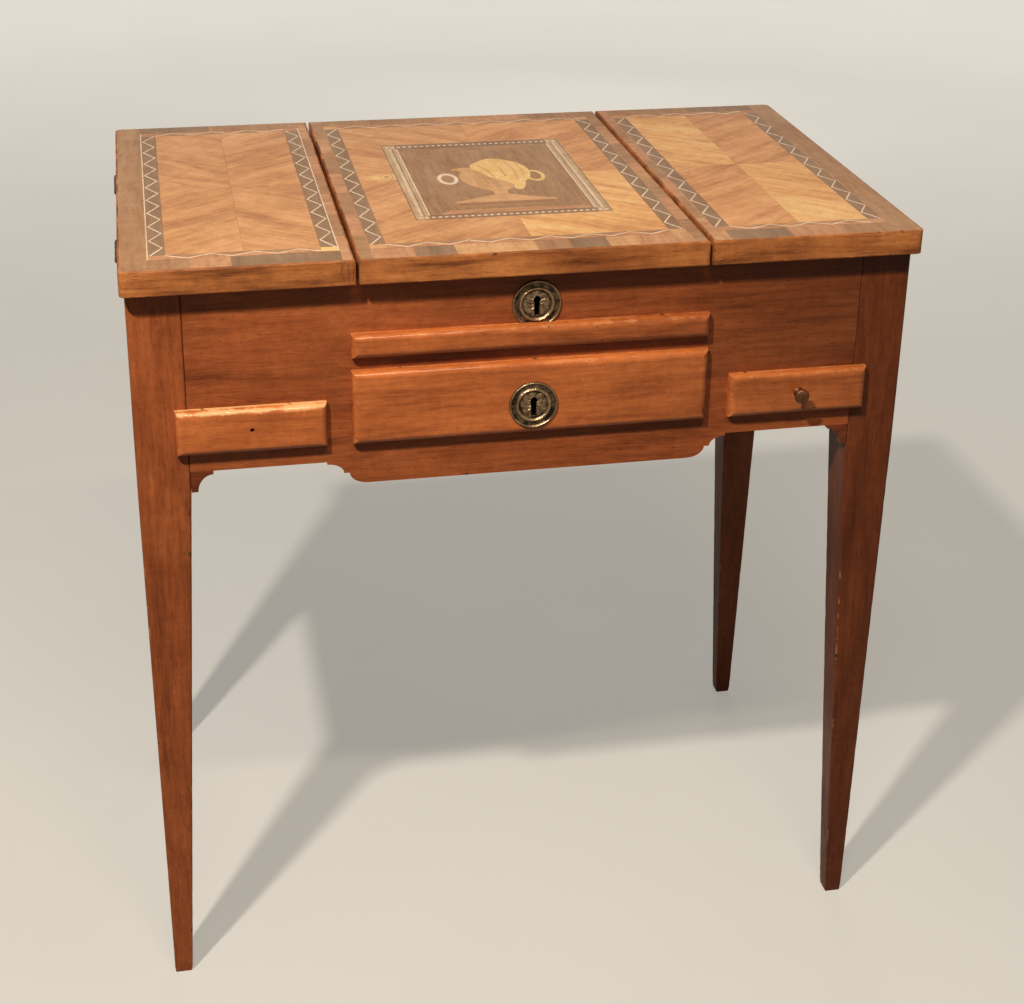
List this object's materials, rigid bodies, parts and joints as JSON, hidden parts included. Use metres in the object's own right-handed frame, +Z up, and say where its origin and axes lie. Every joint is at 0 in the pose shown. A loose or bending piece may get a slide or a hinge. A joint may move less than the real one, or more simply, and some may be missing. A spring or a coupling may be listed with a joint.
{
  "type": "dressing table",
  "caption": "Small dressing table on tapered legs: side leaves and mirrored lid open, with writing slide, middle drawer, small side drawers and inlaid top.",
  "frame": {"origin": "on the floor under the middle of the top", "axes": "+X to the right seen from the front, +Y to the back, +Z up; the drawers open towards -Y"},
  "size_m": [0.722, 0.447, 0.75],
  "materials": {
    "case_wood": "polished red-brown walnut veneer, worn at the edges",
    "top_veneer": "polished marquetry veneer in honey, brown and grey-brown woods",
    "inner_wood": "plain planed oak, unpolished",
    "brass": "old stamped brass with a dark patina",
    "lock_brass": "dull lock metal",
    "iron": "old iron screws",
    "mirror": "silvered mirror glass"
  },
  "bodies": {
    "case": {"leg_front_left": "case_wood", "leg_front_right": "case_wood", "leg_rear_left": "case_wood", "leg_rear_right": "case_wood", "side_panel_left": "case_wood", "side_panel_right": "case_wood", "back_panel": "inner_wood", "front_board_left": "case_wood", "front_board_right": "case_wood", "upper_front_rail": "case_wood", "middle_front_rail": "case_wood", "divider_posts": "case_wood", "lower_front_rail": "case_wood", "front_brackets": "case_wood", "partition_left": "inner_wood", "partition_right": "inner_wood", "left_well_floor": "inner_wood", "right_well_floor": "inner_wood", "centre_floor": "inner_wood", "small_drawer_runners": "inner_wood", "centre_drawer_runners": "inner_wood", "slide_runners": "inner_wood", "upper_escutcheon": "brass", "upper_escutcheon_pins": "brass", "lid_lock_case": "lock_brass", "hinge_case_plates": "brass", "hinge_pins": "brass", "hinge_case_screws": "iron"},
    "left_leaf": {"left_leaf": "top_veneer", "left_leaf_hinge_plates": "brass", "left_leaf_hinge_screws": "iron"},
    "right_leaf": {"right_leaf": "top_veneer", "right_leaf_hinge_plates": "brass", "right_leaf_hinge_screws": "iron"},
    "centre_lid": {"centre_lid": "top_veneer", "centre_lid_hinge_plates": "brass", "centre_lid_hinge_screws": "iron", "lid_staple_plate": "brass", "mirror_frame": "case_wood", "mirror_glass": "mirror"},
    "writing_slide": {"writing_slide_board": "case_wood", "writing_slide_front": "case_wood"},
    "centre_drawer": {"centre_drawer_front": "case_wood", "centre_drawer_sides": "inner_wood", "centre_drawer_back": "inner_wood", "centre_drawer_bottom": "inner_wood", "lower_escutcheon": "brass", "lower_escutcheon_pins": "brass", "drawer_lock_case": "lock_brass"},
    "left_drawer": {"left_drawer_front": "case_wood", "left_drawer_sides": "inner_wood", "left_drawer_back": "inner_wood", "left_drawer_bottom": "inner_wood"},
    "right_drawer": {"right_drawer_front": "case_wood", "right_drawer_sides": "inner_wood", "right_drawer_back": "inner_wood", "right_drawer_bottom": "inner_wood", "right_drawer_knob": "brass"},
    "lid_lock_bolt": {"lid_lock_bolt": "lock_brass"},
    "drawer_lock_bolt": {"drawer_lock_bolt": "lock_brass"}
  },
  "joints": [
    {"name": "left_leaf_hinge", "type": "hinge", "parent": "case", "child": "left_leaf", "pos_m": [-0.358, 0, 0.727], "axis": [0, -1, 0], "range_deg": [0, 180]},
    {"name": "right_leaf_hinge", "type": "hinge", "parent": "case", "child": "right_leaf", "pos_m": [0.358, 0, 0.727], "axis": [0, 1, 0], "range_deg": [0, 180]},
    {"name": "centre_lid_hinge", "type": "hinge", "parent": "case", "child": "centre_lid", "pos_m": [0, 0.2065, 0.727], "axis": [-1, 0, 0], "range_deg": [0, 98]},
    {"name": "writing_slide_travel", "type": "slide", "parent": "case", "child": "writing_slide", "axis": [0, -1, 0], "range_m": [0, 0.24]},
    {"name": "centre_drawer_travel", "type": "slide", "parent": "case", "child": "centre_drawer", "axis": [0, -1, 0], "range_m": [0, 0.25]},
    {"name": "left_drawer_travel", "type": "slide", "parent": "case", "child": "left_drawer", "axis": [0, -1, 0], "range_m": [0, 0.25]},
    {"name": "right_drawer_travel", "type": "slide", "parent": "case", "child": "right_drawer", "axis": [0, -1, 0], "range_m": [0, 0.25]},
    {"name": "lid_lock_bolt_throw", "type": "slide", "parent": "case", "child": "lid_lock_bolt", "axis": [1, 0, 0], "range_m": [0, 0.008]},
    {"name": "drawer_lock_bolt_throw", "type": "slide", "parent": "centre_drawer", "child": "drawer_lock_bolt", "axis": [0, 0, 1], "range_m": [0, 0.006]}
  ]
}
